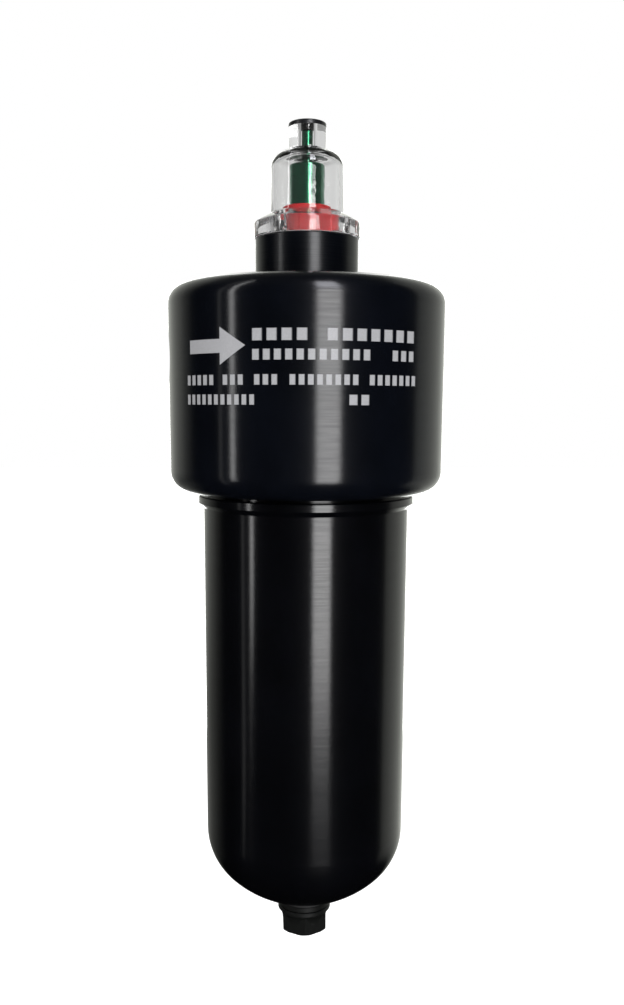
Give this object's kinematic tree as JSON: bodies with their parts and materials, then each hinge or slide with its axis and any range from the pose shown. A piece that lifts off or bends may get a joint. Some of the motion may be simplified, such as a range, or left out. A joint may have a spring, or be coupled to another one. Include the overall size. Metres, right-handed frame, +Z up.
{
  "type": "compressed air filter",
  "caption": "In-line compressed air filter: round ported head, long screw-on bowl with a manual drain, and a clear-domed differential pressure indicator on top.",
  "frame": {"origin": "on the axis of the pipe ports, where the thread of the inlet port begins", "axes": "+Z up, along the axis of the bowl; -X out of the inlet port, +X out of the outlet port; -Y to the marked front"},
  "size_m": [0.095, 0.095, 0.2895],
  "materials": {
    "head_anodised": "black anodised, finely turned, satin",
    "bowl_anodised": "black anodised, finely turned, satin",
    "clear_plastic": "clear moulded, polished",
    "cap_plastic": "black moulded",
    "green_anodised": "green anodised, bright",
    "red_plastic": "red moulded",
    "rubber": "matt",
    "screw_steel": "blackened",
    "spring_steel": "bright drawn",
    "magnet": "nickel plated",
    "piston_plastic": "natural moulded",
    "drain_plastic": "black moulded, satin",
    "drain_brass": "turned",
    "baffle_plastic": "dark grey moulded",
    "element_plastic": "slate grey moulded",
    "perforated_steel": "stainless, perforated",
    "filter_media": "wound glass microfibre",
    "foam": "open-cell drainage sleeve"
  },
  "bodies": {
    "head": {"element_top_cap": "element_plastic", "element_oring_upper": "rubber", "element_oring_lower": "rubber", "element_inner_core": "perforated_steel", "element_media": "filter_media", "element_outer_core": "perforated_steel", "element_foam": "foam", "element_bottom_cap": "element_plastic", "dome_oring": "rubber", "dome_cap": "cap_plastic", "dome_screw_a": "screw_steel", "dome_screw_b": "screw_steel", "dome_screw_c": "screw_steel", "filter_head": "head_anodised", "indicator_base": "head_anodised", "base_oring": "rubber", "sensing_oring": "rubber", "indicator_dome": "clear_plastic", "rod_bush": "rubber", "green_tube": "green_anodised", "tube_oring": "rubber", "spring_seat": "spring_steel", "piston_spring": "spring_steel"},
    "bowl": {"bowl": "bowl_anodised", "bowl_oring": "rubber", "bowl_baffle": "baffle_plastic", "drain_washer": "rubber", "drain_body": "drain_plastic", "drain_clip": "spring_steel"},
    "drain_knob": {"drain_knob": "drain_plastic"},
    "drain_stem": {"drain_stem": "drain_brass", "drain_stem_oring": "rubber"},
    "piston": {"piston": "piston_plastic", "piston_oring": "rubber", "piston_magnet": "magnet"},
    "red_sleeve": {"red_sleeve": "red_plastic", "sleeve_magnet": "magnet"}
  },
  "joints": [
    {"name": "bowl_lower", "type": "slide", "parent": "head", "child": "bowl", "axis": [0, 0, -1], "range_m": [0, 0.15]},
    {"name": "drain_turn", "type": "hinge", "parent": "bowl", "child": "drain_knob", "pos_m": [0.0448, 0, -0.21], "axis": [0, 0, -1], "range_deg": [0, 360]},
    {"name": "drain_stem_lift", "type": "slide", "parent": "bowl", "child": "drain_stem", "axis": [0, 0, 1], "range_m": [0, 0.0015]},
    {"name": "piston_rise", "type": "slide", "parent": "head", "child": "piston", "axis": [0, 0, 1], "range_m": [0, 0.008], "stiffness_N_per_m": 400, "springref_m": -0.002, "deforming": ["piston_spring"]},
    {"name": "sleeve_rise", "type": "slide", "parent": "head", "child": "red_sleeve", "axis": [0, 0, 1], "range_m": [0, 0.008]}
  ],
  "couplings": [
    {"joint": "drain_stem_lift", "follows": "drain_turn", "m_per_rad": 0.0002387},
    {"joint": "sleeve_rise", "follows": "piston_rise", "ratio": 1}
  ]
}
